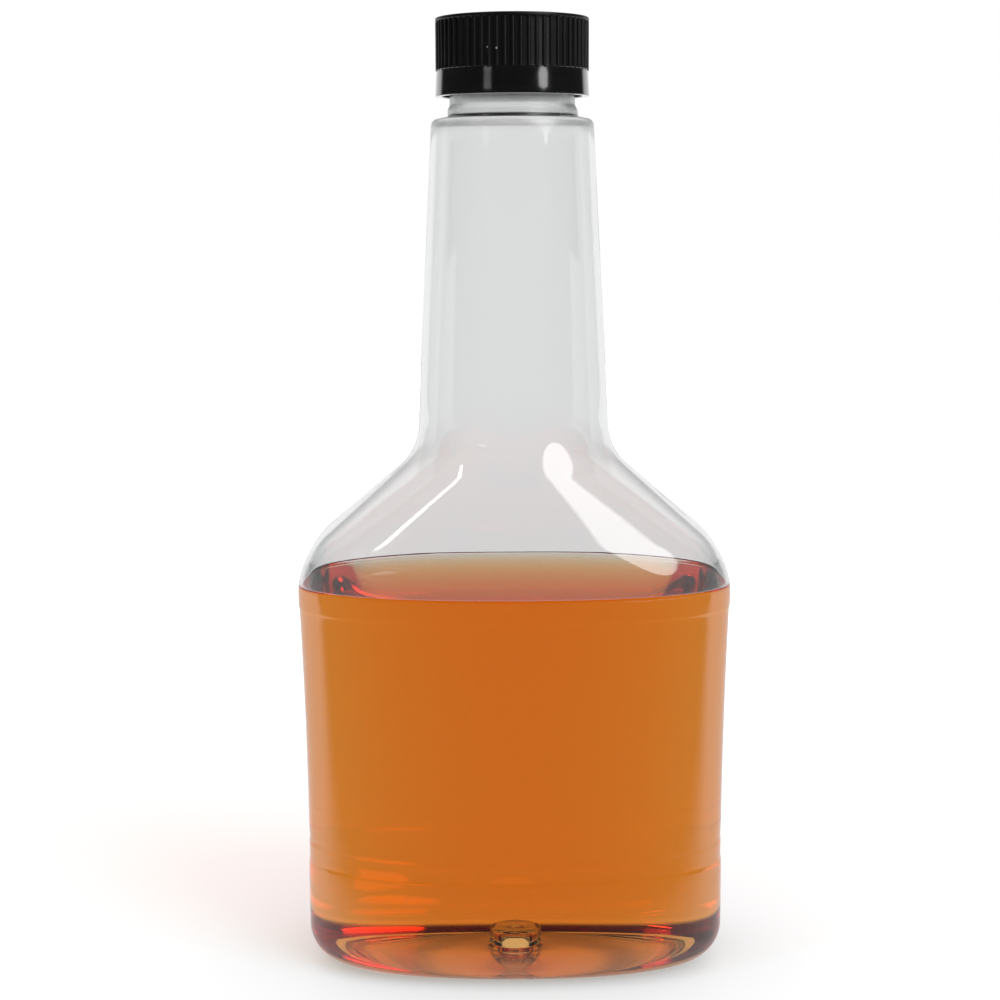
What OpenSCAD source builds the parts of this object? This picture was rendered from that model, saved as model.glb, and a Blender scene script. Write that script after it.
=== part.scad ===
/* [Whole bottle] */
// Height from the standing ring to the top of the closed cap
closed_h = 191; // [170:1:230]
// Widest outside width of the body, across the front
body_w = 87.6; // [77:0.1:103]
// Outside depth of the body, front to back
body_d = 55.8; // [45:0.1:66]
// Squareness of the body's section at its corners, where 2 is a plain ellipse
oval_n = 4.6; // [2:0.1:6]
// How far the front and back faces fall away at the corners, as a share of half the depth
face_bow = 0.26; // [0:0.01:0.4]

/* [Body] */
// Height of the widest level, where the shoulder begins to turn in
widest_z = 77; // [68:0.5:82]
// How much narrower each side is at the foot than at the widest level
foot_taper = 1.2; // [0:0.1:3]
// Height up to which the sides rise straight before they swell to the widest level
straight_z = 23; // [16:0.5:40]
// Depth of the shallow label panel below the bumpers above and under it
panel_inset = 0.15; // [0:0.01:0.6]
// Height of the lower edge of the label panel
panel_low_z = 21.5; // [18:0.5:26]
// Distance from the label panel's upper edge to the widest level
panel_top_drop = 1.8; // [1:0.1:5]
// Height over which each edge of the label panel fades
panel_edge_h = 1; // [0.5:0.1:2]
// Rounding between the side wall and the foot
heel_r = 8.5; // [6:0.5:11]
// Thickness of the blown wall
wall = 0.6; // [0.4:0.05:1.2]
// Thickness of the heavier floor
floor_t = 1; // [0.8:0.05:1.8]

/* [Base] */
// Rise of the push-up above the standing ring
push_up = 2.6; // [1.5:0.1:4]
// Width of the standing ring
ring_w = 1.6; // [1:0.1:3]
// Outside diameter of the hollow gate boss in the middle of the floor
boss_d = 10; // [8:0.5:12]
// Height of the gate boss above the floor
boss_h = 3.4; // [2:0.1:5]
// Wall of the gate boss
boss_wall = 1.1; // [0.8:0.05:1.5]
// Width of the level ring of floor round the gate boss
boss_ring_w = 1; // [0.5:0.1:2]
// Diameter of the gate stub under the boss
gate_d = 3.2; // [2:0.1:4]
// Length of the gate stub
gate_h = 0.8; // [0.4:0.1:1.4]

/* [Shoulder and cone] */
// Slope of the shoulder above the horizontal, in the front view
slope = 41; // [35:0.5:47]
// Rounding between the side wall and the shoulder
shoulder_r = 16.2; // [10:0.2:17]
// Rounding between the shoulder and the cone
root_r = 12; // [6:0.5:13]
// Outside diameter at the top of the cone
cone_top_d = 32.6; // [31:0.1:35]
// How much wider the cone is at its foot than at its top
cone_spread = 6.5; // [4:0.1:9]
// Rounding at the top edge of the cone
cone_edge_r = 3.1; // [2:0.1:3.5]

/* [Neck finish] */
// Height of the neck from the top of the cone to the pouring lip
neck_h = 17.1; // [16:0.1:24]
// Outside diameter of the neck at the root of the thread
neck_d = 24.9; // [24:0.05:26]
// Diameter of the mouth
mouth_d = 21.6; // [20:0.05:22.4]
// Diameter of the heavier collar under the cap
collar_d = 25.7; // [25:0.05:27]
// Height of the collar above the cone's rounded edge
collar_h = 1.7; // [1:0.1:2.5]
// Height of the slope between the collar and the neck
collar_slope = 0.9; // [0.5:0.1:1.2]
// Rounding of the pouring lip
lip_r = 0.35; // [0.2:0.05:0.5]

/* [Cap] */
// Height of the cap
cap_h = 15.2; // [12:0.1:15.8]
// Height of the smooth band
band_h = 5.2; // [3:0.1:6]
// Step from the smooth band in to the ribs
band_step = 0.12; // [0.05:0.01:0.3]
// Number of grip ribs
rib_count = 60; // [40:1:72]
// Depth of the valleys between the ribs
rib_depth = 0.38; // [0.2:0.02:0.5]
// Share of each rib's pitch that its valley takes
valley_share = 0.62; // [0.4:0.02:0.8]
// Rounding of the cap's top edge
cap_edge_r = 0.9; // [0.4:0.1:1.2]
// Bevel round the foot of the cap
cap_bevel = 0.15; // [0.05:0.05:0.3]
// Inside diameter of the cap's skirt, over the thread
skirt_bore_d = 27.9; // [27.6:0.1:28.2]
// Thickness of the cap's skirt at the smooth band
skirt_t = 1.35; // [1.1:0.05:2]
// Thickness of the cap's top plate
plate_t = 1.5; // [1.2:0.1:2]

/* [Cap liner] */
// Thickness of the liner disc
liner_t = 0.9; // [0.6:0.1:1.2]
// Clearance between the liner's rim and the skirt
liner_gap = 0.25; // [0.1:0.05:0.4]

/* [Liquid] */
// Height of the liquid's surface above the standing ring
fill_z = 79; // [30:0.2:90]
// Clearance between the liquid and the inside of the bottle
fill_gap = 0.04; // [0.02:0.01:0.1]

/* [Hidden] */
$fn = 96;
ring_points = 60;
// How far a cut runs past the face that it opens
cut = 1;
// How far the cone's round foot stands in from the flat sides of the body's last section
seat_step = 0.01;

// Neck finish and cap, counted down from the top of the closed cap
lip_z = closed_h - plate_t - liner_t;
cap_foot_z = closed_h - cap_h;
cap_d = skirt_bore_d + 2 * skirt_t;
neck_foot_z = lip_z - neck_h;
cone_top_z = neck_foot_z - cone_edge_r;
boss_top_z = push_up + floor_t + boss_h;
cone_top_r = cone_top_d / 2;

// Front profile: its corners, where the side, the shoulder and the cone would meet unrounded
half_w = body_w / 2;
half_d = body_d / 2;
cone_foot_r = cone_top_r + cone_spread / 2;
side_turn = 90 - slope;
corner_z = widest_z + shoulder_r * tan(side_turn / 2);
root_z = corner_z + (half_w - cone_foot_r) * tan(slope);
cone_lean = atan((cone_foot_r - cone_top_r) / (cone_top_z - root_z));
root_turn = side_turn - cone_lean;
root_tangent = root_r * tan(root_turn / 2);
split_z = root_z + root_tangent * cos(cone_lean);
split_r = cone_foot_r - root_tangent * sin(cone_lean);
panel_top_z = widest_z - panel_top_drop;

// Radius of a round foot that stands just within the flat sides of a section of this radius
function seat_r(r) = r * cos(180 / ring_points) - seat_step;

// Outside radius of the cone at a height
function cone_r(z) = cone_foot_r - (z - root_z) * tan(cone_lean);

// How far the panel stands back at a height: nothing at the bumpers, all of it between them
function panel_at(z) =
    panel_inset * min(1, max(0, min(z - panel_low_z, panel_top_z - z) / panel_edge_h));

// Half width of the side wall at a height, from the slightly narrower foot to the widest level
function side_x(z) = half_w - panel_at(z)
    - foot_taper * (1 - pow(max(0, z - straight_z) / (widest_z - straight_z), 2));

// One station is [half width, height, outward normal in x, outward normal in z, wall there]
heel_steps = 5;
heel_path = [for (i = [0:heel_steps])
    let (a = 90 - 90 * i / heel_steps)
    [side_x(heel_r) - heel_r * (1 - cos(a)), heel_r * (1 - sin(a)), cos(a), -sin(a),
        wall + (floor_t - wall) * pow(sin(a), 2)]];

panel_steps = 4;
panel_floor_z = panel_low_z + panel_edge_h;
panel_floor_h = panel_top_z - panel_edge_h - panel_floor_z;
side_path = [for (z = concat(
        [(heel_r + panel_low_z) / 2, panel_low_z],
        [for (i = [0:panel_steps]) panel_floor_z + panel_floor_h * i / panel_steps],
        [panel_top_z]))
    [side_x(z), z, 1, 0, wall]];

shoulder_steps = 6;
shoulder_path = [for (i = [0:shoulder_steps])
    let (a = side_turn * i / shoulder_steps)
    [half_w - shoulder_r * (1 - cos(a)), widest_z + shoulder_r * sin(a), cos(a), sin(a), wall]];

root_centre = [split_r + root_r * cos(cone_lean), split_z + root_r * sin(cone_lean)];
root_steps = 5;
root_path = [for (i = [0:root_steps])
    let (a = side_turn + (cone_lean - side_turn) * i / root_steps, rise = i < root_steps ? 1 : 0)
    [root_centre[0] - root_r * cos(a), root_centre[1] - root_r * sin(a), cos(a), sin(a) * rise,
        wall]];

slope_steps = 3;
slope_path = [for (i = [1:slope_steps - 1])
    let (t = i / slope_steps, low = shoulder_path[shoulder_steps], high = root_path[0])
    [low[0] + (high[0] - low[0]) * t, low[1] + (high[1] - low[1]) * t, cos(side_turn),
        sin(side_turn), wall]];

side_stations = concat(heel_path, side_path, shoulder_path, slope_path, root_path);

// Share of the body's oval left in the section, from 1 at the side wall to 0 at the cone
function oval_share(s) =
    s[1] <= widest_z ? 1 : max(0, (s[0] - cone_r(s[1])) / (half_w - cone_r(s[1])));

// Depth beside a station: the side wall keeps its distance, the shoulder blends into the cone
function station_d(s) = s[1] <= widest_z
    ? half_d - (half_w - s[0])
    : cone_r(s[1]) + (half_d - cone_r(s[1])) * oval_share(s);

// Section of a station, drawn in from the outside by its wall and by a further gap:
// [half width, half depth, height, share of the body's oval]
function section(s, walls, gap) =
    let (inward = walls * s[4] + gap)
    [s[0] - inward * s[2], station_d(s) - inward * s[2], s[1] - inward * s[3], oval_share(s)];

// Floor sections, from the round middle out to the standing ring
boss_foot_r = boss_d / 2 + boss_ring_w;
floor_steps = 4;
function floor_section(t, walls, gap) =
    let (edge = side_x(heel_r) - heel_r - ring_w, edge_d = half_d - (half_w - edge))
    [boss_foot_r + (edge - boss_foot_r) * t, boss_foot_r + (edge_d - boss_foot_r) * t,
        push_up * (1 + cos(180 * t)) / 2 + walls * floor_t + gap, t];

function sections(walls, gap) = concat(
    [for (i = [0:floor_steps]) floor_section(i / floor_steps, walls, gap)],
    [for (s = side_stations) section(s, walls, gap)]);

// A point on a section, by angle: a squared oval whose front and back bow out in the middle
function section_point(c, a) =
    let (n = 2 + (oval_n - 2) * c[3],
        reach = pow(pow(abs(cos(a)), n) + pow(abs(sin(a)), n), -1 / n),
        across = reach * cos(a))
    [c[0] * across, c[1] * reach * sin(a) * (1 - face_bow * c[3] * pow(across, 2)), c[2]];

// Closed solid through a stack of sections
module loft(list) {
    m = ring_points;
    last = len(list) - 1;
    points = [for (c = list) for (k = [0:m - 1]) section_point(c, 360 * k / m)];
    foot = [for (k = [0:m - 1]) k];
    head = [for (k = [m - 1:-1:0]) last * m + k];
    sides = [for (j = [0:last - 1]) for (k = [0:m - 1])
        [j * m + k, (j + 1) * m + k, (j + 1) * m + (k + 1) % m, j * m + (k + 1) % m]];
    polyhedron(points = points, faces = concat([foot, head], sides), convexity = 6);
}

// Points of a quarter circle, from its outermost point to its highest
function quarter(cx, cz, r, steps) =
    [for (i = [0:steps]) let (a = 90 * i / steps) [cx + r * cos(a), cz + r * sin(a)]];

// Outer profile of the cone and neck finish, revolved about the axis
module upper_outside() {
    collar_r = collar_d / 2;
    collar_top_z = neck_foot_z + collar_h;
    rotate_extrude()
        polygon(concat(
            [[0, split_z], [seat_r(split_r), split_z]],
            quarter(cone_top_r - cone_edge_r, cone_top_z, cone_edge_r, 8),
            [[collar_r, neck_foot_z], [collar_r, collar_top_z],
                [neck_d / 2, collar_top_z + collar_slope]],
            quarter(neck_d / 2 - lip_r, lip_z - lip_r, lip_r, 4),
            [[0, lip_z]]));
}

// Room inside the cone and neck, open at the mouth, with a narrower foot that runs down into
// the room of the body
module upper_inside(gap) {
    bore_r = mouth_d / 2 - gap;
    cone_in_r = cone_top_r - wall - gap;
    throat_foot_z = cone_top_z - cone_edge_r / 2;
    above = lip_z + lip_r;
    inner_r = seat_r(split_r - wall - gap);
    rotate_extrude()
        polygon(concat(
            [[0, split_z - wall], [inner_r / 2, split_z - wall], [inner_r / 2, split_z],
                [inner_r, split_z]],
            quarter(bore_r, throat_foot_z, cone_in_r - bore_r, 6),
            [[bore_r, above], [0, above]]));
}

// Hollow under the gate boss, with the gate stub standing down in it
module gate_recess() {
    top = boss_top_z - boss_wall;
    difference() {
        translate([0, 0, -cut])
            cylinder(d = boss_d - 2 * boss_wall, h = top + cut);
        translate([0, 0, top - gate_h])
            cylinder(d = gate_d, h = gate_h + cut);
    }
}

// Everything inside the bottle round the gate boss, from the floor to the open mouth
module room(gap) {
    difference() {
        union() {
            loft(sections(1, gap));
            upper_inside(gap);
        }
        cylinder(d = boss_d + 2 * gap, h = boss_top_z + gap);
    }
}

// Blown clear bottle, one piece from the standing ring to the pouring lip
module bottle() {
    color([0.86, 0.88, 0.89, 0.35])
        difference() {
            union() {
                loft(sections(0, 0));
                upper_outside();
            }
            room(0);
            gate_recess();
        }
}

// Ribbed black screw cap with a smooth band round its foot
module cap() {
    rib_r = cap_d / 2 - band_step;
    valley_r = PI * rib_r / rib_count * valley_share;
    color([0.05, 0.05, 0.055])
        difference() {
            rotate_extrude()
                polygon(concat(
                    [[skirt_bore_d / 2, cap_foot_z], [cap_d / 2 - cap_bevel, cap_foot_z],
                        [cap_d / 2, cap_foot_z + cap_bevel], [cap_d / 2, cap_foot_z + band_h],
                        [rib_r, cap_foot_z + band_h + band_step]],
                    quarter(rib_r - cap_edge_r, closed_h - cap_edge_r, cap_edge_r, 6),
                    [[0, closed_h], [0, closed_h - plate_t],
                        [skirt_bore_d / 2, closed_h - plate_t]]));
            for (i = [0:rib_count - 1])
                rotate(360 * i / rib_count)
                    translate([rib_r + valley_r - rib_depth, 0, cap_foot_z + band_h + band_step])
                        cylinder(r = valley_r, h = cap_h);
        }
}

// Soft disc inside the cap that closes on the pouring lip
module cap_liner() {
    color([0.93, 0.93, 0.9])
        translate([0, 0, lip_z])
            cylinder(d = skirt_bore_d - 2 * liner_gap, h = liner_t);
}

// Orange contents, level across the shoulder
module liquid() {
    color([0.85, 0.42, 0.08, 0.8])
        intersection() {
            room(fill_gap);
            translate([-body_w, -body_d, 0])
                cube([2 * body_w, 2 * body_d, fill_z]);
        }
}

bottle();
cap();
cap_liner();
liquid();
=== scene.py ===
"""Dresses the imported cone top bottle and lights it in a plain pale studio.

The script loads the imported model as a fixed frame, replaces its solids with smooth
meshes of the same sizes, gives each piece its finish, and leaves the camera at the
photograph's viewing angle.
"""

from __future__ import annotations

import logging
import math
from dataclasses import dataclass
from enum import Enum
from typing import Any, Callable, Iterable, NamedTuple, Sequence

import bmesh
import bpy
from mathutils import Matrix, Vector, noise

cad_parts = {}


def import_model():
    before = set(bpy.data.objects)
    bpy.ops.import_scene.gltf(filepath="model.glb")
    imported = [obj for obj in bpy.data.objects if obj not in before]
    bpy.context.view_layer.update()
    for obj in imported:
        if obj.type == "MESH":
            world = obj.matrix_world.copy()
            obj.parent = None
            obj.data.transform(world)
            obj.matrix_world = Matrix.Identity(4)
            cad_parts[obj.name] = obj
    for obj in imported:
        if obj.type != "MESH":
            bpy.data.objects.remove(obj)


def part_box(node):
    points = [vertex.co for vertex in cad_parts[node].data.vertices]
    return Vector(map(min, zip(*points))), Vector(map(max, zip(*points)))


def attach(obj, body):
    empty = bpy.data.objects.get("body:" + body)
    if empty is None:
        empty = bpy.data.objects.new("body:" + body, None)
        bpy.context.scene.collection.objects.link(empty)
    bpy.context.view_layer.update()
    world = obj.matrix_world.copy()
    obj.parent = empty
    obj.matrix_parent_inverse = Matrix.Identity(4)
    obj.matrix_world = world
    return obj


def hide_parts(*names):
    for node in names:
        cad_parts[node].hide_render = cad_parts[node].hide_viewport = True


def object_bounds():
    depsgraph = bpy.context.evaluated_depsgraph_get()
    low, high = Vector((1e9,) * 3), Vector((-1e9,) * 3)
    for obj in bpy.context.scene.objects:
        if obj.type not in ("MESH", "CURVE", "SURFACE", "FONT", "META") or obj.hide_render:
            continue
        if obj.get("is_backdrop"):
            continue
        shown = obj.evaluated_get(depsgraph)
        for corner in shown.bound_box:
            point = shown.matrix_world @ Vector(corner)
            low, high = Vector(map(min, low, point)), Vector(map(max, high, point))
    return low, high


LOG = logging.getLogger("cone_top_bottle")
MM = 0.001
WHITE = (1.0, 1.0, 1.0, 1.0)

Colour = tuple[float, ...]
Span = tuple[float, float]


class Body(Enum):
    """The bodies that pieces ride on."""

    BOTTLE = "bottle"
    LINER = "liner"
    CAP = "cap"


class Slot(Enum):
    """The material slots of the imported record."""

    CLEAR_WALL = "clear_wall"
    BLACK_CAP = "black_cap"
    LINER = "liner"
    ORANGE_LIQUID = "orange_liquid"


# Shader and node helpers


class Sock:
    """An output socket that can stand in Python arithmetic and adds Math nodes."""

    def __init__(self, graph: "Graph", socket: bpy.types.NodeSocket) -> None:
        """Wraps an output socket of a node in the graph."""
        self.graph = graph
        self.socket = socket

    def _math(self, operation: str, first: Any, second: Any) -> "Sock":
        """Adds one Math node."""
        return self.graph.node("ShaderNodeMath", {"operation": operation}, {0: first, 1: second})

    def __add__(self, other: "Sock | float") -> "Sock":
        """self + other."""
        return self._math("ADD", self, other)

    __radd__ = __add__

    def __sub__(self, other: "Sock | float") -> "Sock":
        """self - other."""
        return self._math("SUBTRACT", self, other)

    def __rsub__(self, other: float) -> "Sock":
        """other - self."""
        return self._math("SUBTRACT", other, self)

    def __mul__(self, other: "Sock | float") -> "Sock":
        """self * other."""
        return self._math("MULTIPLY", self, other)

    __rmul__ = __mul__

    def __truediv__(self, other: "Sock | float") -> "Sock":
        """self / other."""
        return self._math("DIVIDE", self, other)

    def __pow__(self, other: float) -> "Sock":
        """self to a power."""
        return self._math("POWER", self, other)

    def largest(self, other: "Sock | float") -> "Sock":
        """The larger of two values."""
        return self._math("MAXIMUM", self, other)

    def ramp(self, low: float, high: float, start: float = 0.0, end: float = 1.0) -> "Sock":
        """Maps low..high smoothly to start..end, and holds it outside them."""
        return self.graph.node(
            "ShaderNodeMapRange",
            {"interpolation_type": "SMOOTHSTEP"},
            {"Value": self, "From Min": low, "From Max": high, "To Min": start, "To Max": end},
        )


class Graph:
    """A node tree with one method that adds any node."""

    def __init__(self, tree: bpy.types.NodeTree) -> None:
        """Starts from a shader or geometry tree, which it empties."""
        self.tree = tree
        tree.nodes.clear()

    def node(
        self,
        kind: str,
        settings: dict[str, Any] | None = None,
        inputs: dict[Any, Any] | None = None,
        output: int | str = 0,
    ) -> Sock:
        """Adds a node, sets it up and feeds its sockets.

        Args:
            kind: The node's type name.
            settings: Properties of the node, set before its sockets.
            inputs: Values or sockets by input name or number.
            output: Which output to return.

        Returns:
            The chosen output, wrapped.
        """
        made = self.tree.nodes.new(kind)
        for name, value in (settings or {}).items():
            setattr(made, name, value)
        for key, value in (inputs or {}).items():
            socket = made.inputs[key]
            if isinstance(value, Sock):
                self.tree.links.new(value.socket, socket)
            elif value is not None:
                socket.default_value = value
        if len(made.outputs) == 0:
            return Sock(self, None)
        return Sock(self, made.outputs[output])

    def other(self, sock: Sock, name: str) -> Sock:
        """Another output of the node that a wrapped socket belongs to."""
        return Sock(self, sock.socket.node.outputs[name])

    def colours(self, share: Sock | float, first: Any, second: Any) -> Sock:
        """Mixes two colours by a share."""
        mix = self.node("ShaderNodeMix", {"data_type": "RGBA"}, {0: share, 6: first, 7: second})
        return Sock(self, mix.socket.node.outputs[2])

    def place(self, scale: Sequence[float] = (1.0, 1.0, 1.0)) -> Sock:
        """Object coordinates, scaled."""
        where = self.node("ShaderNodeTexCoord", output="Object")
        return self.node("ShaderNodeMapping", {}, {"Vector": where, "Scale": tuple(scale)})

    def noise(self, where: Sock, scale: float, detail: float = 3.0, rough: float = 0.5) -> Sock:
        """A cloud noise from 0 to 1."""
        return self.node(
            "ShaderNodeTexNoise",
            {"noise_dimensions": "3D"},
            {"Vector": where, "Scale": scale, "Detail": detail, "Roughness": rough},
        )

    def bump(self, height: Sock, distance_mm: float) -> Sock:
        """A bumped normal from a height."""
        inputs = {"Height": height, "Distance": distance_mm * MM, "Strength": 1.0}
        return self.node("ShaderNodeBump", {}, inputs)

    def axis(self, where: Sock, name: str) -> Sock:
        """One coordinate of a vector."""
        return self.node("ShaderNodeSeparateXYZ", {}, {0: where}, name)

    def principled(self, inputs: dict[Any, Any]) -> Sock:
        """A Principled shader."""
        return self.node("ShaderNodeBsdfPrincipled", {}, inputs)

    def mix(self, share: Sock, first: Sock, second: Sock) -> Sock:
        """Mixes two shaders by a share."""
        return self.node("ShaderNodeMixShader", {}, {0: share, 1: first, 2: second})

    def finish(self, surface: Sock, volume: Sock | None = None) -> None:
        """Sends the shaders to the material's output."""
        self.node("ShaderNodeOutputMaterial", {}, {"Surface": surface, "Volume": volume})


def new_material(name: str) -> tuple[bpy.types.Material, Graph]:
    """Makes an empty node material, and returns it with the graph of its tree."""
    material = bpy.data.materials.new(name)
    material.use_nodes = True
    return material, Graph(material.node_tree)


class Rays(NamedTuple):
    """Shares of the rays: from the camera, through something clear, and by reflection."""

    seen: Sock
    through: Sock
    mirrored: Sock


def ray_kinds(graph: Graph) -> Rays:
    """Tells three kinds of rays apart."""
    seen = graph.node("ShaderNodeLightPath", output="Is Camera Ray")
    through = graph.other(seen, "Is Transmission Ray") * (1.0 - seen)
    mirrored = graph.other(seen, "Is Glossy Ray") * (1.0 - seen) * (1.0 - through)
    return Rays(seen, through, mirrored)


@dataclass(frozen=True)
class SeeThrough:
    """A clear material that deepens in colour with the light's path through it."""

    ior: float
    depth_tint: Colour
    depth_per_m: float
    film: Colour

    def fill(self, graph: Graph, look: dict[Any, Any]) -> None:
        """Builds the clear shader, which is only a thin film to the lamps' own rays.

        Args:
            graph: The material's tree.
            look: The rest of the Principled shader's inputs.
        """
        glass = graph.principled({"IOR": self.ior, "Transmission Weight": 1.0, **look})
        clear = graph.node("ShaderNodeBsdfTransparent", {}, {"Color": self.film})
        to_lamp = graph.node("ShaderNodeLightPath", output="Is Shadow Ray")
        tinted = {"Color": self.depth_tint, "Density": self.depth_per_m}
        depth = graph.node("ShaderNodeVolumeAbsorption", {}, tinted)
        graph.finish(graph.mix(to_lamp, glass, clear), depth)


@dataclass(frozen=True)
class ClearPlastic(SeeThrough):
    """Clear blown plastic: glossy, faintly uneven, a little grey through its thickness."""

    ior: float = 1.57
    depth_tint: Colour = (0.82, 0.84, 0.845, 1.0)
    depth_per_m: float = 130.0
    film: Colour = (0.95, 0.96, 0.96, 1.0)
    tint: Colour = (0.975, 0.98, 0.98, 1.0)
    smooth: float = 0.012
    scuffed: float = 0.045
    haze: float = 0.24
    hazy_mm: Span = (166.5, 171.0)
    ripple_mm: float = 0.02

    def material(self) -> bpy.types.Material:
        """Builds the material."""
        made, graph = new_material("clear_blown_plastic")
        where = graph.place()
        scuffs = graph.noise(where, 420.0, 4.0, 0.6).ramp(0.62, 0.8)
        neck = graph.axis(where, "Z").ramp(self.hazy_mm[0] * MM, self.hazy_mm[1] * MM)
        rough = scuffs * (self.scuffed - self.smooth) + neck * self.haze + self.smooth
        waves = graph.noise(graph.place((1.0, 1.0, 0.35)), 95.0, 2.0, 0.4)
        normal = graph.bump(waves, self.ripple_mm)
        self.fill(graph, {"Base Color": self.tint, "Roughness": rough, "Normal": normal})
        return made


@dataclass(frozen=True)
class OrangeLiquid(SeeThrough):
    """Clear orange liquid."""

    ior: float = 1.36
    depth_tint: Colour = (0.985, 0.65, 0.0, 1.0)
    depth_per_m: float = 82.0
    film: Colour = (1.0, 0.97, 0.93, 1.0)
    swell_mm: float = 0.004

    def material(self) -> bpy.types.Material:
        """Builds the material."""
        made, graph = new_material("orange_liquid")
        normal = graph.bump(graph.noise(graph.place(), 60.0, 1.0, 0.3), self.swell_mm)
        self.fill(graph, {"Base Color": WHITE, "Roughness": 0.0, "Normal": normal})
        return made


@dataclass(frozen=True)
class BlackMoulding:
    """Black moulded plastic: a glossy smooth band under a satin ribbed grip."""

    band_top_mm: float
    pale_spots_mm: tuple[tuple[float, float, float], ...]
    colour: Colour = (0.004, 0.004, 0.0045, 1.0)
    dusty: Colour = (0.012, 0.012, 0.0125, 1.0)
    pale_spot_colour: Colour = (0.3, 0.31, 0.3, 1.0)
    band_rough: float = 0.13
    grip_rough: float = 0.38
    pale_spot_reach_mm: float = 0.24
    bruise_reach_mm: float = 1.6
    skin_mm: float = 0.004

    def near_spot(self, graph: Graph, centre: tuple[float, float, float], reach_mm: float) -> Sock:
        """1 at a spot's centre, falling to 0 at its reach."""
        where = graph.node("ShaderNodeTexCoord", output="Object")
        ends = {0: where, 1: tuple(c * MM for c in centre)}
        away = graph.node("ShaderNodeVectorMath", {"operation": "DISTANCE"}, ends, "Value")
        return away.ramp(reach_mm * MM * 0.35, reach_mm * MM, 1.0, 0.0)

    def material(self) -> bpy.types.Material:
        """Builds the material."""
        made, graph = new_material("black_moulded_cap")
        where = graph.place()
        height = graph.axis(where, "Z")
        grip = height.ramp((self.band_top_mm - 0.05) * MM, (self.band_top_mm + 0.1) * MM)
        mottle = graph.noise(where, 900.0, 5.0, 0.6)
        # Two small pale spots are mixed into the black's colour and raised a little in the bump.
        pale_spots = self.near_spot(graph, self.pale_spots_mm[0], self.pale_spot_reach_mm)
        for centre in self.pale_spots_mm[1:]:
            pale_spots = pale_spots.largest(self.near_spot(graph, centre, self.pale_spot_reach_mm))
        bruise = self.near_spot(graph, self.pale_spots_mm[0], self.bruise_reach_mm)
        dust = graph.noise(where, 160.0, 3.0, 0.5).ramp(0.55, 0.8) * 0.5
        colour = graph.colours(dust, self.colour, self.dusty)
        colour = graph.colours(pale_spots, colour, self.pale_spot_colour)
        rough = grip * (self.grip_rough - self.band_rough) + self.band_rough
        rough = rough + mottle * 0.06 - 0.03 + bruise * 0.35
        skin = graph.noise(where, 2600.0, 2.0, 0.5)
        graph.finish(graph.principled({
            "Base Color": colour,
            "Roughness": rough,
            "IOR": 1.5,
            "Coat Weight": 1.0 - grip,
            "Coat Roughness": 0.08,
            "Coat IOR": 1.75,
            "Normal": graph.bump(skin + pale_spots * 6.0, self.skin_mm),
        }))
        return made


@dataclass(frozen=True)
class LinerFoam:
    """Off-white foamed sealing disc."""

    colour: Colour = (0.84, 0.83, 0.79, 1.0)
    pores: Colour = (0.7, 0.69, 0.65, 1.0)
    pore_mm: float = 0.03

    def material(self) -> bpy.types.Material:
        """Builds the material."""
        made, graph = new_material("foam_liner")
        cells = graph.noise(graph.place(), 1500.0, 4.0, 0.6)
        graph.finish(graph.principled({
            "Base Color": graph.colours(cells.ramp(0.55, 0.75), self.colour, self.pores),
            "Roughness": cells * 0.2 + 0.6,
            "Normal": graph.bump(cells, self.pore_mm),
        }))
        return made


# Outlines and meshes


class Point(NamedTuple):
    """A corner of an outline: distance from the axis, height and rounding, in mm."""

    r: float
    z: float
    rounding: float = 0.0


class Section(NamedTuple):
    """One level section about the bottle's axis, in mm, and its share of the body's shape."""

    half_w: float
    half_d: float
    z: float
    share: float = 0.0


class Station(NamedTuple):
    """One point of the front outline with its outward normal and wall, in mm."""

    x: float
    z: float
    nx: float
    nz: float
    wall: float


def smooth_step(t: float) -> float:
    """Eases 0..1 in and out, and holds it outside."""
    t = min(1.0, max(0.0, t))
    return t * t * (3.0 - 2.0 * t)


def spread(low: float, high: float, count: int) -> list[float]:
    """count even steps from low to high, both ends included."""
    return [low + (high - low) * i / (count - 1) for i in range(count)]


def round_outline(corners: Sequence[Point], steps: int = 6) -> list[Span]:
    """Turns an outline's rounded corners into short arcs.

    Args:
        corners: The outline's corners in order, with the rounding of each.
        steps: Segments to an arc.

    Returns:
        The points of the outline as (r, z).
    """
    points: list[Span] = []
    for i, corner in enumerate(corners):
        here = Vector((corner.r, corner.z))
        if corner.rounding <= 0.0 or i in (0, len(corners) - 1):
            points.append((here.x, here.y))
            continue
        back = Vector((corners[i - 1].r, corners[i - 1].z)) - here
        onward = Vector((corners[i + 1].r, corners[i + 1].z)) - here
        half = back.angle(onward) / 2.0
        reach = min(corner.rounding / math.tan(half), back.length * 0.49, onward.length * 0.49)
        start, end = here + back.normalized() * reach, here + onward.normalized() * reach
        for k in range(steps + 1):
            t = k / steps
            bent = start * (1 - t) ** 2 + here * 2 * t * (1 - t) + end * t**2
            points.append((bent.x, bent.y))
    return points


def subdivide(points: Sequence[Span], longest: float) -> list[Span]:
    """Adds points so that no step of an outline is longer than a given length."""
    out = [points[0]]
    for (r0, z0), (r1, z1) in zip(points, points[1:]):
        parts = max(1, math.ceil(math.hypot(r1 - r0, z1 - z0) / longest))
        out += [(r0 + (r1 - r0) * k / parts, z0 + (z1 - z0) * k / parts)
                for k in range(1, parts + 1)]
    return out


def revolved(outline: Sequence[Span], longest: float) -> list[Section]:
    """Round sections along an outline, no further apart than a given length."""
    return [Section(r, r, z) for r, z in subdivide(outline, longest)]


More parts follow.
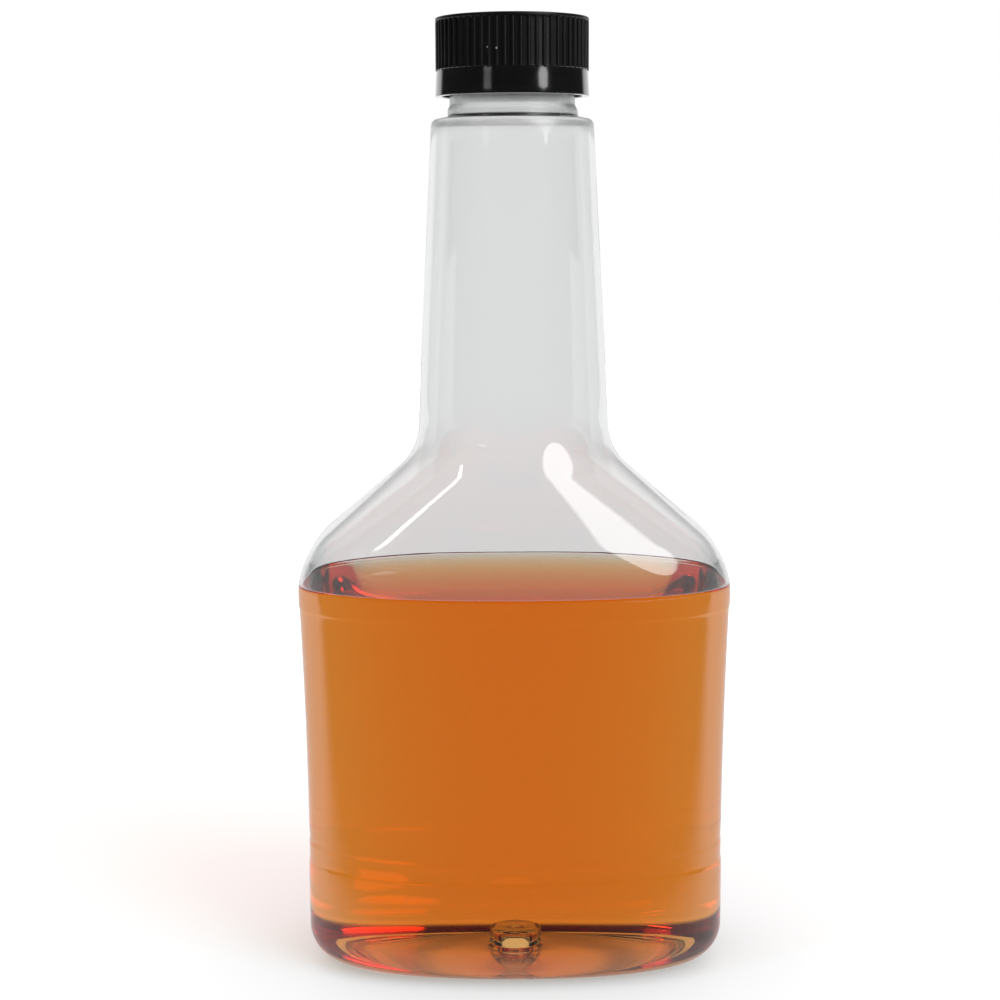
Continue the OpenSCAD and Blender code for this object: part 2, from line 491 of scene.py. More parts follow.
@dataclass(frozen=True)
class Oblong:
    """The shape of the body's sections: rounded corners, and bowed front and back faces."""

    power: float = 4.6
    bow: float = 0.26

    def point(self, section: Section, turn: float) -> Vector:
        """The point of a section at an angle, in mm."""
        power = 2.0 + (self.power - 2.0) * section.share
        side, front = math.cos(turn), math.sin(turn)
        reach = (abs(side) ** power + abs(front) ** power) ** (-1.0 / power)
        across = reach * side
        deep = reach * front * (1.0 - self.bow * section.share * across**2)
        return Vector((section.half_w * across, section.half_d * deep, section.z))


Relief = Callable[[Vector, float], Vector]


def loft_mesh(
    name: str, sections: Sequence[Section], around: int, relief: Relief | None = None
) -> bpy.types.Mesh:
    """Makes a closed mesh through level sections, with a pole at each end.

    Args:
        name: The mesh's name.
        sections: The sections in order; the first and last are small and get a pole.
        around: Points to a section.
        relief: Moves each point, given it and its section's number.

    Returns:
        The mesh, in metres, with its faces outwards and smooth.
    """
    made, shape = bmesh.new(), Oblong()
    rings = []
    for j, section in enumerate(sections):
        points = [shape.point(section, math.tau * k / around) for k in range(around)]
        if relief is not None:
            points = [relief(point, j) for point in points]
        rings.append([made.verts.new(point * MM) for point in points])
    for low, high in zip(rings, rings[1:]):
        for k in range(around):
            n = (k + 1) % around
            made.faces.new((low[k], high[k], high[n], low[n]))
    for ring, section in ((rings[0], sections[0]), (rings[-1], sections[-1])):
        pole = made.verts.new(Vector((0.0, 0.0, section.z)) * MM)
        for k in range(around):
            made.faces.new((ring[k], ring[(k + 1) % around], pole))
    bmesh.ops.recalc_face_normals(made, faces=made.faces)
    for face in made.faces:
        face.smooth = True
    mesh = bpy.data.meshes.new(name)
    made.to_mesh(mesh)
    made.free()
    return mesh


def show(name: str, mesh: bpy.types.Mesh, material: bpy.types.Material) -> bpy.types.Object:
    """Puts a mesh in the scene with one material."""
    mesh.materials.clear()
    mesh.materials.append(material)
    made = bpy.data.objects.new(name, mesh)
    bpy.context.scene.collection.objects.link(made)
    return made


def lofted(
    name: str, sections: Sequence[Section], around: int, finish: bpy.types.Material,
    relief: Relief | None = None,
) -> bpy.types.Object:
    """Lofts a mesh and puts it in the scene with its finish."""
    mesh = loft_mesh(name, sections, around, relief)
    LOG.info("%s: %d faces", name, len(mesh.polygons))
    return show(name, mesh, finish)


# The bottle


@dataclass(frozen=True)
class BottleForm:
    """The blown bottle's sizes in mm, and the sections of its outer and inner walls."""

    half_w: float
    half_d: float
    lip_z: float
    widest_z: float = 77.0
    foot_taper: float = 1.2
    straight_z: float = 23.0
    panel_inset: float = 0.15
    panel_low_z: float = 21.5
    panel_top_drop: float = 1.8
    panel_edge_h: float = 1.0
    heel_r: float = 8.5
    wall: float = 0.6
    floor_t: float = 1.0
    crease_levels: Span = (3.8, 5.6)
    push_up: float = 2.6
    ring_w: float = 1.6
    boss_d: float = 10.0
    boss_h: float = 3.4
    boss_wall: float = 1.1
    gate_d: float = 3.2
    gate_h: float = 0.8
    slope: float = 41.0
    shoulder_r: float = 16.2
    root_r: float = 12.0
    cone_top_d: float = 32.6
    cone_spread: float = 6.5
    cone_edge_r: float = 3.1
    neck_h: float = 17.1
    neck_d: float = 24.9
    mouth_d: float = 21.6
    collar_d: float = 25.7
    collar_h: float = 1.7
    collar_slope: float = 0.9
    lip_r: float = 0.35

    @classmethod
    def from_frame(cls) -> "BottleForm":
        """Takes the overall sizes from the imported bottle."""
        low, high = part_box("bottle")
        wide, deep = (high.x - low.x) / MM / 2, (high.y - low.y) / MM / 2
        return cls(half_w=wide, half_d=deep, lip_z=high.z / MM)

    @property
    def neck_foot_z(self) -> float:
        """Height where the neck stands on the cone."""
        return self.lip_z - self.neck_h

    @property
    def cone_top_z(self) -> float:
        """Height where the cone's straight side ends."""
        return self.neck_foot_z - self.cone_edge_r

    @property
    def cone_foot_r(self) -> float:
        """Radius where the cone and the shoulder would meet unrounded."""
        return self.cone_top_d / 2 + self.cone_spread / 2

    @property
    def side_turn(self) -> float:
        """Angle that the outline turns through between the side and the shoulder."""
        return math.radians(90.0 - self.slope)

    @property
    def root_z(self) -> float:
        """Height where the cone and the shoulder would meet unrounded."""
        corner_z = self.widest_z + self.shoulder_r * math.tan(self.side_turn / 2)
        return corner_z + (self.half_w - self.cone_foot_r) * math.tan(math.radians(self.slope))

    @property
    def cone_lean(self) -> float:
        """Angle of the cone's side from upright."""
        return math.atan(
            (self.cone_foot_r - self.cone_top_d / 2) / (self.cone_top_z - self.root_z)
        )

    @property
    def split(self) -> Span:
        """Radius and height where the root's curve becomes the straight cone."""
        reach = self.root_r * math.tan((self.side_turn - self.cone_lean) / 2)
        return (
            self.cone_foot_r - reach * math.sin(self.cone_lean),
            self.root_z + reach * math.cos(self.cone_lean),
        )

    def cone_r(self, z: float) -> float:
        """Outside radius of the cone at a height."""
        return self.cone_foot_r - (z - self.root_z) * math.tan(self.cone_lean)

    def side_x(self, z: float) -> float:
        """Half width of the side wall at a height, with the panel's inset."""
        top = self.widest_z - self.panel_top_drop
        panel = smooth_step(min(z - self.panel_low_z, top - z) / self.panel_edge_h)
        rise = max(0.0, z - self.straight_z) / (self.widest_z - self.straight_z)
        return self.half_w - self.panel_inset * panel - self.foot_taper * (1 - rise**2)

    def stations(self) -> list[Station]:
        """The front outline from the foot to the cone, finely stepped."""
        out: list[Station] = []
        for a in spread(math.pi / 2, 0.0, 16):
            thick = self.wall + (self.floor_t - self.wall) * math.sin(a) ** 2
            out.append(Station(
                self.side_x(self.heel_r) - self.heel_r * (1 - math.cos(a)),
                self.heel_r * (1 - math.sin(a)), math.cos(a), -math.sin(a), thick,
            ))
        top = self.widest_z - self.panel_top_drop
        levels = spread(self.heel_r + 2, self.panel_low_z, 7)
        levels += spread(self.panel_low_z + 0.15, self.panel_low_z + self.panel_edge_h, 6)
        levels += spread(*(self.panel_low_z + up for up in self.crease_levels), 9)
        levels += spread(self.panel_low_z + 8, top - 3, 22)
        levels += spread(top - self.panel_edge_h, top, 7)
        out += [Station(self.side_x(z), z, 1.0, 0.0, self.wall) for z in levels]
        for a in spread(0.0, self.side_turn, 18):
            out.append(Station(
                self.half_w - self.shoulder_r * (1 - math.cos(a)),
                self.widest_z + self.shoulder_r * math.sin(a),
                math.cos(a), math.sin(a), self.wall,
            ))
        split_r, split_z = self.split
        centre_x = split_r + self.root_r * math.cos(self.cone_lean)
        centre_z = split_z + self.root_r * math.sin(self.cone_lean)
        root = [
            Station(
                centre_x - self.root_r * math.cos(a), centre_z - self.root_r * math.sin(a),
                math.cos(a), math.sin(a), self.wall,
            )
            for a in spread(self.side_turn, self.cone_lean, 16)
        ]
        low = out[-1]
        for t in spread(0.0, 1.0, 11)[1:-1]:
            out.append(Station(
                low.x + (root[0].x - low.x) * t, low.z + (root[0].z - low.z) * t,
                low.nx, low.nz, self.wall,
            ))
        return out + root

    def oblong_share(self, station: Station) -> float:
        """How oblong a station's section is, from 1 at the side to 0 at the cone."""
        if station.z <= self.widest_z:
            return 1.0
        cone = self.cone_r(station.z)
        return max(0.0, (station.x - cone) / (self.half_w - cone))

    def section(self, station: Station, walls: float, gap: float) -> Section:
        """A station's section, drawn in by its wall and by a further gap."""
        share = self.oblong_share(station)
        depth = self.half_d - (self.half_w - station.x)
        if station.z > self.widest_z:
            cone = self.cone_r(station.z)
            depth = cone + (self.half_d - cone) * share
        inward = walls * station.wall + gap
        return Section(
            station.x - inward * station.nx, depth - inward * station.nx,
            station.z - inward * station.nz, share,
        )

    def floor_sections(self, walls: float, gap: float) -> list[Section]:
        """Sections from the gate boss's foot out to the standing ring."""
        foot = self.boss_d / 2 + 1
        edge = self.side_x(self.heel_r) - self.heel_r - self.ring_w
        edge_d = self.half_d - (self.half_w - edge)
        return [
            Section(
                foot + (edge - foot) * t, foot + (edge_d - foot) * t,
                self.push_up * (1 + math.cos(math.pi * t)) / 2 + walls * self.floor_t + gap, t,
            )
            for t in spread(0.0, 1.0, 18)
        ]

    def inner_sections(self, gap: float) -> list[Section]:
        """The inner wall from the top of the gate boss up to the foot of the cone."""
        floor = self.push_up + self.floor_t + gap
        top = floor + self.boss_h
        side = self.boss_d / 2 + gap
        boss = round_outline([
            Point(0.4, top), Point(side, top, 0.9), Point(side, floor, 0.9),
            Point(self.boss_d / 2 + 1, floor),
        ])
        out = revolved(boss, 0.8)[:-1] + self.floor_sections(1.0, gap)
        return out + [self.section(s, 1.0, gap) for s in self.stations()]

    def outer_sections(self) -> list[Section]:
        """The outer wall from the foot of the cone down to the gate stub."""
        out = [self.section(s, 0.0, 0.0) for s in reversed(self.stations())]
        out += list(reversed(self.floor_sections(0.0, 0.0)))
        recess_r = self.boss_d / 2 - self.boss_wall
        recess_z = self.push_up + self.floor_t + self.boss_h - self.boss_wall
        stub_r = self.gate_d / 2
        recess = round_outline([
            Point(self.boss_d / 2 + 1, self.push_up), Point(recess_r, self.push_up, 0.5),
            Point(recess_r, recess_z, 0.7), Point(stub_r, recess_z, 0.4),
            Point(stub_r, recess_z - self.gate_h, 0.3), Point(0.2, recess_z - self.gate_h),
        ])
        return out + revolved(recess, 0.8)[1:]

    def inside_neck(self) -> list[Section]:
        """The inner wall of the cone and neck, up to the lip."""
        split_r, split_z = self.split
        bore = self.mouth_d / 2
        cone_in = self.cone_top_d / 2 - self.wall
        foot = self.cone_top_z - self.cone_edge_r / 2
        throat = foot + cone_in - bore
        outline = round_outline([
            Point(split_r - self.wall, split_z), Point(cone_in, foot),
            Point(cone_in, throat, 4.2), Point(bore, throat, 0.8),
            Point(bore, self.lip_z, 0.3), Point(bore + 0.6, self.lip_z),
        ], 10)
        return revolved(outline, 2.0)[1:]

    def outside_neck(self) -> list[Section]:
        """The outer wall of the neck and cone, down from the lip."""
        split_r, split_z = self.split
        neck, collar = self.neck_d / 2, self.collar_d / 2
        collar_top = self.neck_foot_z + self.collar_h
        neck_low = collar_top + self.collar_slope
        edge_r = self.cone_r(self.neck_foot_z)
        low = round_outline([
            Point(neck, neck_low + 0.6), Point(neck, neck_low, 0.8),
            Point(collar, collar_top, 0.8), Point(collar, self.neck_foot_z, 0.9),
            Point(edge_r, self.neck_foot_z, self.cone_edge_r), Point(split_r, split_z),
        ], 10)
        high = round_outline([
            Point(self.mouth_d / 2 + 0.7, self.lip_z), Point(neck, self.lip_z, self.lip_r),
            Point(neck, neck_low + 0.6),
        ])
        return revolved(high, 0.2) + revolved(low, 2.0)[1:-1]


@dataclass(frozen=True)
class NeckThread:
    """The closure's right-hand thread, in mm."""

    pitch: float = 4.233
    turns: float = 1.3
    height: float = 1.2
    root_w: float = 2.3
    start_below_lip: float = 8.4
    run_out: float = 0.6

    def ridge(self, turn: float, drop: float) -> float:
        """Height of the ridge at an angle in radians and a drop below the lip."""
        best = 0.0
        for lap in range(2):
            along = turn + math.tau * lap
            end = math.tau * self.turns
            if along > end:
                continue
            centre = self.start_below_lip - self.pitch * along / math.tau
            slant = 1.0 - abs(drop - centre) / (self.root_w / 2)
            ends = min(1.0, along / self.run_out, (end - along) / self.run_out)
            best = max(best, smooth_step(slant * 1.6) * self.height * max(0.0, ends))
        return best


@dataclass(frozen=True)
class BottleShell:
    """The clear bottle as one smooth closed wall, with its thread and blown ripples."""

    form: BottleForm
    thread: NeckThread
    around: int = 192
    ripple: float = 0.05
    creases: tuple[Span, ...] = ((26.3, 0.09), (21.2, 0.06), (75.6, 0.08))
    bulge: float = 0.2
    bulge_reach: float = 0.7
    still_r: float = 8.0
    seeds: Span = (11.3, 3.1)

    def ripple_at(self, point: Vector, seed: float) -> float:
        """How far the blown wall wanders inwards at a point, in mm."""
        where = Vector((point.x * 0.045 + seed, point.y * 0.05, point.z * 0.03))
        wave = 0.5 + 0.5 * noise.noise(where)
        fade = smooth_step(point.z / 12.0) * smooth_step((self.form.cone_top_z - point.z) / 20.0)
        return self.ripple * wave * fade

    def crease_at(self, z: float) -> float:
        """How far the outer wall steps in at a height under the mould's fine edges, in mm."""
        return sum(
            depth * smooth_step((z - at + 0.5) / 0.6) * smooth_step((at + 3.5 - z) / 3.0)
            for at, depth in self.creases
        )

    def drawn_in(self, point: Vector, depth: float) -> Vector:
        """Moves a point towards the axis, unless it is near it."""
        flat = Vector((point.x, point.y, 0.0))
        if flat.length < self.still_r:
            return point
        return point - flat.normalized() * depth

    def inner_relief(self, point: Vector, _: float) -> Vector:
        """The inner wall's ripples, which the liquid follows."""
        return self.drawn_in(point, self.ripple_at(point, self.seeds[0]))

    def outer_relief(self, point: Vector) -> Vector:
        """The outer wall's ripples and creases, the thread and the collar's bulge."""
        form = self.form
        turn = math.atan2(point.y, point.x)
        drop = form.lip_z - point.z
        out = -self.ripple_at(point, self.seeds[1]) - self.crease_at(point.z)
        if 0.6 < drop < form.neck_h - form.collar_h - form.collar_slope:
            out += self.thread.ridge(turn % math.tau, drop)
        level = smooth_step(1.0 - abs(point.z - form.neck_foot_z - 0.9) / 1.4)
        out += self.bulge * level * smooth_step(1.0 - abs(turn) / self.bulge_reach)
        return self.drawn_in(point, -out)

    def build(self, finish: bpy.types.Material) -> bpy.types.Object:
        """Makes the bottle's wall in its clear plastic."""
        inner = self.form.inner_sections(0.0) + self.form.inside_neck()
        outer = self.form.outside_neck() + self.form.outer_sections()

        def relief(point: Vector, index: float) -> Vector:
            """The relief of whichever wall a point is on."""
            if index < len(inner):
                return self.inner_relief(point, index)
            return self.outer_relief(point)

        return lofted("clear_bottle", inner + outer, self.around, finish, relief)


# How far in from its rim the liquid's surface has a ring of points, in mm
SURFACE_INSETS = (0.12, 0.3, 0.55, 0.85, 1.2, 1.7, 2.4, 3.4, 5.0, 8.0, 12.0, 17.0, 22.0, 26.0)


@dataclass(frozen=True)
class LiquidFill:
    """The liquid, pressed a hair into the wall, with a meniscus round its surface."""

    shell: BottleShell
    fill_z: float
    pressed: float = 0.06
    meniscus_h: float = 0.35
    meniscus_w: float = 0.6
    around: int = 192
    floor_count: int = 40

    def sections(self) -> list[Section]:
        """Sections from the gate boss up the wall and in over the surface."""
        wet = self.fill_z + self.meniscus_h
        rising = self.shell.form.inner_sections(-self.pressed)
        below = [s for i, s in enumerate(rising) if i < self.floor_count or s.z < wet]
        last, above = below[-1], rising[len(below)]
        t = (wet - last.z) / (above.z - last.z)
        rim = Section(*(a + (b - a) * t for a, b in zip(last, above)))
        out = below + [rim]
        for inset in SURFACE_INSETS:
            level = self.fill_z + self.meniscus_h * math.exp(-inset / self.meniscus_w)
            shrunk = rim.share * (1.0 - 0.4 * inset / rim.half_d)
            out.append(Section(rim.half_w - inset, rim.half_d - inset, level, shrunk))
        return out + [Section(9.0, 0.5, self.fill_z), Section(1.0, 0.05, self.fill_z)]

    def build(self, finish: bpy.types.Material) -> bpy.types.Object:
        """Makes the liquid in its material, with the ripples of the wall that it touches."""
        relief = self.shell.inner_relief
        return lofted("orange_liquid", self.sections(), self.around, finish, relief)


# The cap


RIB_POINTS = 14
RIDGE_POINTS = 10
GRIP_SIZES = (
    "Rib Radius", "Rib Height", "Rib Foot", "Ring Radius",
    "Thread Turns", "Thread Radius", "Thread Rise", "Thread Foot", "Thread Ridge",
)
GRIP_INPUTS: dict[str, str] = {
    "Rib Count": "NodeSocketInt",
    **{name: "NodeSocketFloat" for name in GRIP_SIZES},
    "Finish": "NodeSocketMaterial",
}


@dataclass(frozen=True)
class ScrewCap:
    """The ribbed screw cap, in mm, made from a revolved shell and instanced ribs."""

    foot_z: float
    top_z: float
    band_d: float
    thread: NeckThread
    lip_z: float
    band_h: float = 5.2
    band_step: float = 0.12
    rib_count: int = 60
    rib_depth: float = 0.38
    rib_r: float = 0.42
    edge_r: float = 0.5
    rim_h: float = 0.05
    draft: float = 0.25
    bore_d: float = 27.9
    plate_t: float = 1.5
    ridge_r: float = 0.75
    ridge_sunk: float = 0.35
    around: int = 240

    @classmethod
    def from_frame(cls, thread: NeckThread, lip_z: float) -> "ScrewCap":
        """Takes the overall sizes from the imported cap."""
        low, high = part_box("cap")
        return cls(
            foot_z=low.z / MM, top_z=high.z / MM, band_d=(high.x - low.x) / MM,
            thread=thread, lip_z=lip_z,
        )

    @property
    def grip_r(self) -> float:
        """Radius over the ribs."""
        return self.band_d / 2 - self.band_step

    @property
    def band_top_z(self) -> float:
        """Height where the smooth band ends and the ribs begin."""
        return self.foot_z + self.band_h

    def shell_sections(self) -> list[Section]:
        """The cap's revolved shell, from the top's middle round to the plate inside."""
        valley = self.grip_r - self.rib_depth
        rim_z = self.top_z - self.edge_r - self.rim_h
        outline = round_outline([
            Point(0.4, self.top_z), Point(self.grip_r, self.top_z, self.edge_r),
            Point(self.grip_r, rim_z, 0.08), Point(valley, rim_z - self.rib_depth, 0.1),
            Point(valley, self.band_top_z, 0.05), Point(self.grip_r - 0.05, self.band_top_z, 0.06),
            Point(self.band_d / 2 - self.draft, self.band_top_z - self.band_step, 0.08),
            Point(self.band_d / 2, self.foot_z, 0.16), Point(self.bore_d / 2, self.foot_z, 0.2),
            Point(self.bore_d / 2, self.top_z - self.plate_t, 0.4),
            Point(0.4, self.top_z - self.plate_t),
        ], 8)
        return revolved(outline, 1.6)

    def grip_tree(self) -> bpy.types.NodeTree:
        """Builds the tree that adds the ribs and the inner thread to the shell."""
        tree = bpy.data.node_groups.new("cap_grip", "GeometryNodeTree")
        face = tree.interface
        face.new_socket("Geometry", in_out="INPUT", socket_type="NodeSocketGeometry")
        for name, kind in GRIP_INPUTS.items():
            face.new_socket(name, in_out="INPUT", socket_type=kind)
        face.new_socket("Geometry", in_out="OUTPUT", socket_type="NodeSocketGeometry")
        graph = Graph(tree)
        shell = graph.node("NodeGroupInput", output="Geometry")
        given = {name: graph.other(shell, name) for name in GRIP_INPUTS}

        def swept(curve: Sock, points: int, radius: Sock) -> Sock:
            """A round bar along a curve."""
            profile = graph.node(
                "GeometryNodeCurvePrimitiveCircle", {"mode": "RADIUS"},
                {"Resolution": points, "Radius": radius}, "Curve",
            )
            inputs = {"Curve": curve, "Profile Curve": profile, "Fill Caps": True}
            return graph.node("GeometryNodeCurveToMesh", {}, inputs, "Mesh")

        def raised(shape: Sock, height: Sock) -> Sock:
            """A shape lifted to a height."""
            inputs = {"Geometry": shape, "Translation": upright(height)}
            return graph.node("GeometryNodeTransform", {}, inputs, "Geometry")

        def upright(height: Sock) -> Sock:
            """A vector that points straight up."""
            return graph.node("ShaderNodeCombineXYZ", {}, {"Z": height})

        line = graph.node(
            "GeometryNodeCurvePrimitiveLine", {"mode": "POINTS"},
            {"Start": (0.0, 0.0, 0.0), "End": upright(given["Rib Height"])}, "Curve",
        )
        circle = graph.node(
            "GeometryNodeMeshCircle", {"fill_type": "NONE"},
            {"Vertices": given["Rib Count"], "Radius": given["Ring Radius"]}, "Mesh",
        )
        inputs = {
            "Points": raised(circle, given["Rib Foot"]),
            "Instance": swept(line, RIB_POINTS, given["Rib Radius"]),
        }
        ribs = graph.node("GeometryNodeInstanceOnPoints", {}, inputs, "Instances")
        helix = graph.node(
            "GeometryNodeCurveSpiral", {},
            {"Resolution": 120, "Rotations": given["Thread Turns"],
             "Start Radius": given["Thread Radius"], "End Radius": given["Thread Radius"],
             "Height": given["Thread Rise"], "Reverse": False}, "Curve",
        )
        thread = swept(raised(helix, given["Thread Foot"]), RIDGE_POINTS, given["Thread Ridge"])
        joined = tree.nodes.new("GeometryNodeJoinGeometry")
        for part in (thread, ribs, shell):
            tree.links.new(part.socket, joined.inputs[0])
        whole = Sock(graph, joined.outputs[0])
        for kind, extra in (
            ("GeometryNodeRealizeInstances", {}),
            ("GeometryNodeSetShadeSmooth", {"Shade Smooth": True}),
            ("GeometryNodeSetMaterial", {"Material": given["Finish"]}),
        ):
            whole = graph.node(kind, {}, {"Geometry": whole, **extra}, "Geometry")
        graph.node("NodeGroupOutput", {}, {"Geometry": whole})
        return tree

    def build(self, finish: bpy.types.Material) -> bpy.types.Object:
        """Makes the cap with its ribs and inner thread, in its black plastic."""
        rough = lofted("cap_shell", self.shell_sections(), self.around, finish)
        thread = self.thread
        values: dict[str, Any] = {
            "Rib Count": self.rib_count,
            "Rib Radius": self.rib_r * MM,
            "Rib Height": (self.top_z - self.edge_r - self.rim_h - self.band_top_z + 0.1) * MM,
            "Rib Foot": (self.band_top_z - 0.3) * MM,
            "Ring Radius": (self.grip_r - self.rib_r) * MM,
            "Thread Turns": thread.turns,
            "Thread Radius": (self.bore_d / 2 - self.ridge_sunk) * MM,
            "Thread Rise": thread.pitch * thread.turns * MM,
            "Thread Foot": (self.lip_z - thread.start_below_lip - thread.pitch / 2) * MM,
            "Thread Ridge": self.ridge_r * MM,
            "Finish": finish,
        }
        made = realised(rough, self.grip_tree(), values, "black_cap")
        LOG.info("black_cap: %d faces", len(made.data.polygons))
        return made


def realised(
    source: bpy.types.Object, tree: bpy.types.NodeTree, values: dict[str, Any], name: str
) -> bpy.types.Object:
    """Runs a Geometry Nodes tree on an object and keeps the result as a plain mesh.

    Args:
        source: The object that carries the tree; it is removed.
        tree: The tree.
        values: The tree's inputs by name.
        name: The finished piece's name.

    Returns:
        The finished piece.
    """
    modifier = source.modifiers.new(tree.name, "NODES")
    modifier.node_group = tree
    for item in tree.interface.items_tree:
        if item.item_type == "SOCKET" and item.in_out == "INPUT" and item.name in values:
            modifier[item.identifier] = values[item.name]
    depsgraph = bpy.context.evaluated_depsgraph_get()
    mesh = bpy.data.meshes.new_from_object(source.evaluated_get(depsgraph))
    mesh.name = name
    source.modifiers.remove(modifier)
    bpy.data.objects.remove(source)
    made = bpy.data.objects.new(name, mesh)
    bpy.context.scene.collection.objects.link(made)
    return made


@dataclass(frozen=True)
class LinerDisc:
    """The sealing disc, with softly rounded rims, in mm."""

    low_z: float
    high_z: float
    disc_d: float
    edge_r: float = 0.2
    around: int = 96

    @classmethod
    def from_frame(cls) -> "LinerDisc":
        """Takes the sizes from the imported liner."""
        low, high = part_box("cap_liner")
        return cls(low_z=low.z / MM, high_z=high.z / MM, disc_d=(high.x - low.x) / MM)

    def build(self, finish: bpy.types.Material) -> bpy.types.Object:
        """Makes the disc in its foam."""
        rim = self.disc_d / 2
        outline = round_outline([
            Point(0.4, self.high_z), Point(rim, self.high_z, self.edge_r),
            Point(rim, self.low_z, self.edge_r), Point(0.4, self.low_z),
        ])
        return lofted("sealing_disc", revolved(outline, 1.5), self.around, finish)


# The studio


@dataclass(frozen=True)
class Softbox:
    """A soft oval lamp placed by its direction from the bottle, in degrees and metres."""

    name: str
    azimuth: float
    low: float
    high: float
    width: float
    radiance: float
    distance: float = 2.5
    aim_z: float = 0.13

    def span(self, degrees: float) -> float:
        """The lamp's size across an angle."""
        return 2 * self.distance * math.tan(math.radians(degrees) / 2)

    def add(self) -> None:
        """Adds the lamp, facing the bottle."""
        middle = math.radians((self.low + self.high) / 2)
        turn = math.radians(self.azimuth)
        out = Vector((math.sin(turn) * math.cos(middle), -math.cos(turn) * math.cos(middle),
                      math.sin(middle)))
        lamp = bpy.data.lights.new(self.name, "AREA")
        lamp.shape = "ELLIPSE"
        lamp.size = self.span(self.width)
        lamp.size_y = self.span(self.high - self.low)
        lamp.energy = self.radiance * math.pi * lamp.size * lamp.size_y * math.pi / 4
        made = bpy.data.objects.new(self.name, lamp)
        made.location = Vector((0.0, 0.0, self.aim_z)) + out * self.distance
        made.rotation_euler = (-out).to_track_quat("-Z", "Y").to_euler()
        bpy.context.scene.collection.objects.link(made)


# Centres of the two small pale spots on the cap's ribs, in mm.
CAP_PALE_SPOTS = ((-4.9, -14.35, 184.4), (-3.1, -14.85, 184.2))
DEEP_BOUNCES = 24
GLOSSY_BOUNCES = 8
LAMPS = (
    Softbox("softbox_right", azimuth=47.0, low=7.7, high=57.0, width=35.0, radiance=3.0),
    Softbox("strip_left", azimuth=-58.0, low=34.0, high=59.0, width=2.6, radiance=8.0),
    Softbox("fill_left", azimuth=-37.5, low=7.8, high=10.5, width=12.6, radiance=0.9),
)


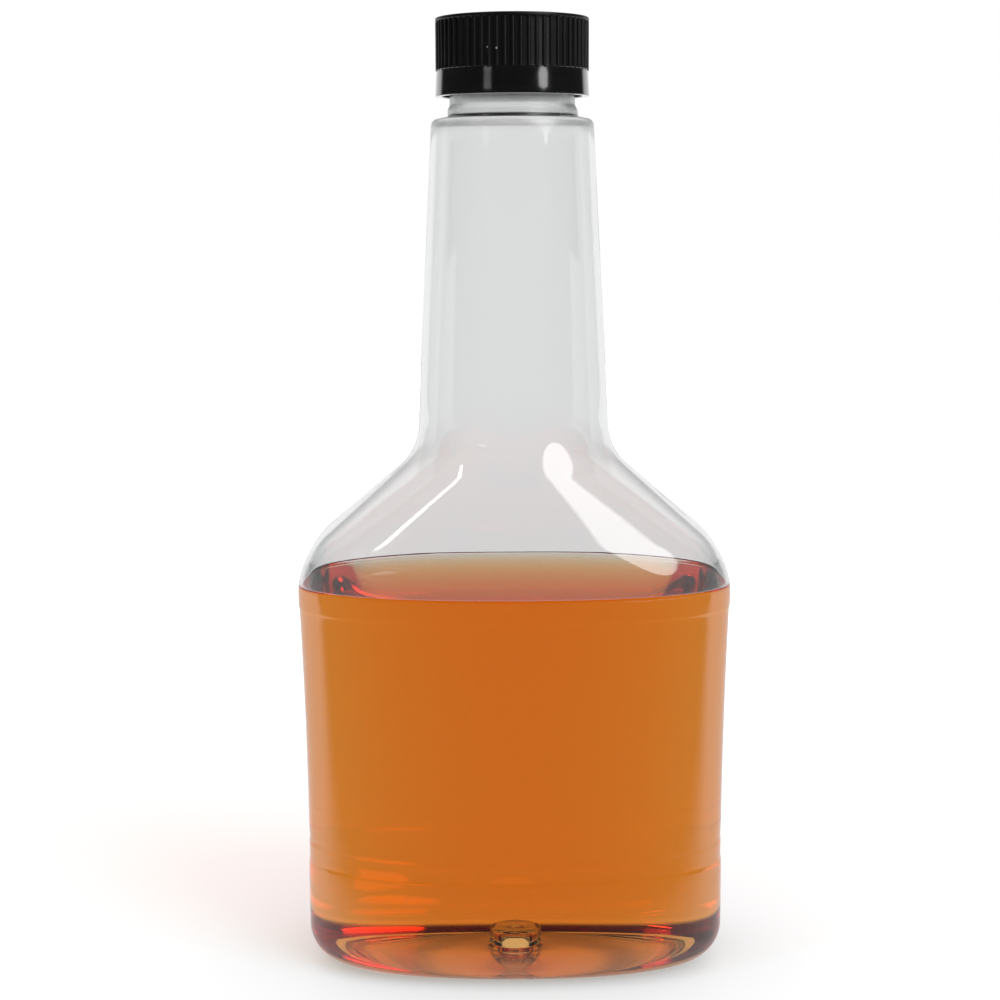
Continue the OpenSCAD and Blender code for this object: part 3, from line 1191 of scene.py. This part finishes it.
@dataclass(frozen=True)
class Studio:
    """Camera, pale floor, world and lamps."""

    distance: float = 0.400
    side: float = -0.0028
    height: float = 0.1549
    tilt: float = 8.53
    roll: float = -0.26
    lens: float = 71.2
    floor_half: float = 1.5
    through_glass: float = 0.915
    behind_half_angle: float = 47.0
    through_half_angle: float = 72.0
    near_white: float = 0.82
    sweep_span: Span = (0.3, 1.3)
    dark_through: float = 0.1
    grey: float = 0.4
    grey_from: Span = (0.08, 0.2)
    grey_to: Span = (0.3, 0.5)
    dark_sides: float = 0.03
    ambient: float = 0.75
    lift: float = 0.3
    far_lift: float = 0.6
    far_span: Span = (0.12, 0.5)
    flag_y: Span = (0.0, -0.065)
    floor_colour: Colour = (0.82, 0.82, 0.82, 1.0)

    def add_camera(self) -> None:
        """Puts the camera where the photograph was taken from."""
        data = bpy.data.cameras.new("camera")
        data.lens = self.lens
        data.sensor_width = 36.0
        data.clip_start = 0.01
        data.clip_end = 20.0
        made = bpy.data.objects.new("camera", data)
        made.matrix_world = (
            Matrix.Translation((self.side, -self.distance, self.height))
            @ Matrix.Rotation(math.radians(90.0 - self.tilt), 4, "X")
            @ Matrix.Rotation(math.radians(self.roll), 4, "Z")
        )
        bpy.context.scene.collection.objects.link(made)
        bpy.context.scene.camera = made

    def add_floor(self) -> None:
        """Adds the pale floor, which shows white but keeps the bottle's soft shadow."""
        material, graph = new_material("pale_floor")
        seen, through, mirrored = ray_kinds(graph)
        where = graph.node("ShaderNodeTexCoord", output="Object")
        away = graph.node("ShaderNodeVectorMath", {"operation": "LENGTH"}, {0: where}, "Value")
        matt = graph.node("ShaderNodeBsdfDiffuse", {}, {"Color": self.floor_colour})
        lift = away.ramp(*self.far_span) * self.far_lift + self.lift
        lit = graph.node("ShaderNodeEmission", {}, {"Strength": lift * seen})
        table = graph.node("ShaderNodeAddShader", {}, {0: matt, 1: lit})
        white = away.ramp(*self.sweep_span, self.near_white, self.through_glass)
        dark = through * self.dark_through + mirrored * self.dark_sides
        ahead = graph.axis(where, "Y").ramp(*self.flag_y)
        strength = white * (1.0 - ahead) + dark * ahead
        backdrop = graph.node("ShaderNodeEmission", {}, {"Strength": strength})
        graph.finish(graph.mix(through + mirrored, table, backdrop))
        half = self.floor_half
        mesh = bpy.data.meshes.new("floor")
        ends = [(-half, -half, 0), (half, -half, 0), (half, half, 0), (-half, half, 0)]
        mesh.from_pydata(ends, [], [(0, 1, 2, 3)])
        show("floor", mesh, material)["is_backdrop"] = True

    def white_within(self, behind: Sock, half_angle: float) -> Sock:
        """The backdrop's strength within an angle of straight back, and the dark beyond it."""
        edge = math.cos(math.radians(half_angle))
        return behind.ramp(edge - 0.06, edge + 0.06, self.dark_sides, self.through_glass)

    def add_world(self) -> None:
        """White to the camera, and behind the bottle, with dark sides for other rays."""
        world = bpy.data.worlds.new("studio")
        world.use_nodes = True
        bpy.context.scene.world = world
        graph = Graph(world.node_tree)
        way = graph.node("ShaderNodeTexCoord", output="Generated")
        back = graph.axis(way, "Y")
        side = graph.other(back, "X")
        flat = (side * side + back * back) ** 0.5
        behind = back / (flat + 0.001)
        seen, through, mirrored = ray_kinds(graph)
        shown = through * self.white_within(behind, self.through_half_angle)
        shown = shown + mirrored * self.white_within(behind, self.behind_half_angle)
        rise = graph.other(back, "Z")
        upper = rise.ramp(*self.grey_from, 1.0, self.grey) + rise.ramp(*self.grey_to, 0.0, 0.5)
        strength = seen + shown * upper + (1.0 - seen - through - mirrored) * self.ambient
        light = graph.node("ShaderNodeBackground", {}, {"Color": WHITE, "Strength": strength})
        graph.node("ShaderNodeOutputWorld", {}, {"Surface": light})

    def set_up(self) -> None:
        """Builds the whole studio and the view settings."""
        self.add_camera()
        self.add_floor()
        self.add_world()
        for lamp in LAMPS:
            lamp.add()
        scene = bpy.context.scene
        scene.view_settings.view_transform = "Standard"
        scene.cycles.max_bounces = DEEP_BOUNCES
        scene.cycles.transmission_bounces = DEEP_BOUNCES
        scene.cycles.transparent_max_bounces = DEEP_BOUNCES
        scene.cycles.glossy_bounces = GLOSSY_BOUNCES
        scene.cycles.caustics_reflective = False
        scene.cycles.caustics_refractive = False


def place(piece: bpy.types.Object, body: Body, nodes: Iterable[str], slot: Slot) -> None:
    """Seats a finished piece on its body in place of its CAD nodes.

    Args:
        piece: The finished piece.
        body: The body that it rides on.
        nodes: The CAD nodes that it stands for.
        slot: The record's material slot; it is not used.
    """
    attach(piece, body.value)
    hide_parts(*nodes)
    LOG.info("%s rides on %s", piece.name, body.value)


def corners(box: tuple[Vector, Vector]) -> list[list[float]]:
    """A box as plain lists of numbers."""
    return [[float(value) for value in corner] for corner in box]


def main() -> None:
    """Builds the studio and every piece."""
    logging.basicConfig(level=logging.INFO, format="%(name)s: %(message)s")
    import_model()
    cad_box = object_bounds()
    Studio().set_up()

    form = BottleForm.from_frame()
    thread = NeckThread()
    shell = BottleShell(form, thread)
    place(shell.build(ClearPlastic().material()), Body.BOTTLE, ["bottle"], Slot.CLEAR_WALL)

    fill_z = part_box("liquid")[1].z / MM
    fill = LiquidFill(shell, fill_z)
    place(fill.build(OrangeLiquid().material()), Body.BOTTLE, ["liquid"], Slot.ORANGE_LIQUID)

    cap = ScrewCap.from_frame(thread, form.lip_z)
    moulding = BlackMoulding(cap.band_top_z, CAP_PALE_SPOTS)
    place(cap.build(moulding.material()), Body.CAP, ["cap"], Slot.BLACK_CAP)

    liner = LinerDisc.from_frame()
    place(liner.build(LinerFoam().material()), Body.LINER, ["cap_liner"], Slot.LINER)

    {"cad": corners(cad_box), "visual": corners(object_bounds())}


if __name__ == "__main__":
    main()
